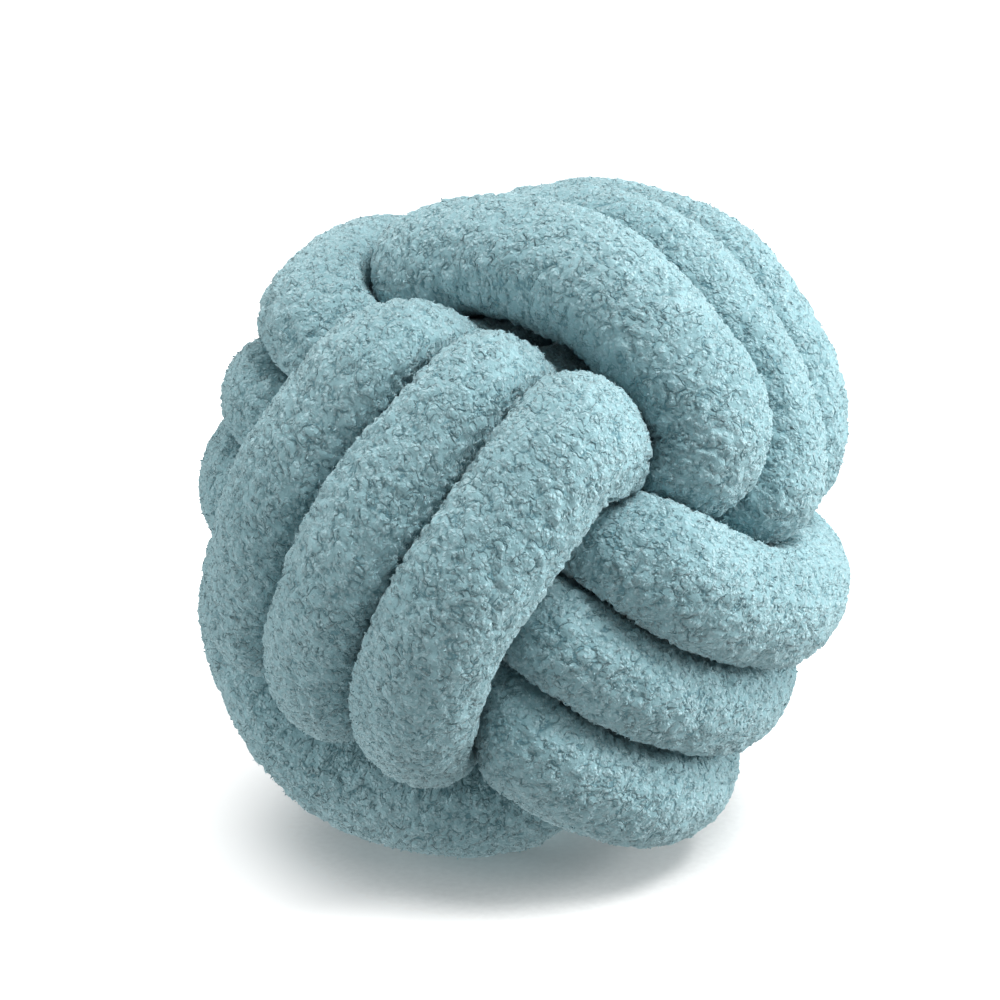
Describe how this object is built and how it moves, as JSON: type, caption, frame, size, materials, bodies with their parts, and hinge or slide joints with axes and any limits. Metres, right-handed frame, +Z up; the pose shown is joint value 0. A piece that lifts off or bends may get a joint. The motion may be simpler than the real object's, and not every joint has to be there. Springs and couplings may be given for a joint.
{
  "type": "knot cushion",
  "caption": "Round knot cushion: one long stuffed tube of short curly fleece tied in a ball, with three strands side by side on every side.",
  "frame": {"origin": "middle of the cushion's footprint, on the plane it lies on", "axes": "+Z up, -Y towards the side that the picture shows, +X to its right"},
  "size_m": [0.269, 0.2896, 0.2684],
  "materials": {
    "curly_fleece": "matte, short curly pile"
  },
  "bodies": {
    "root": {"knotted_tube": "curly_fleece"}
  },
  "joints": []
}
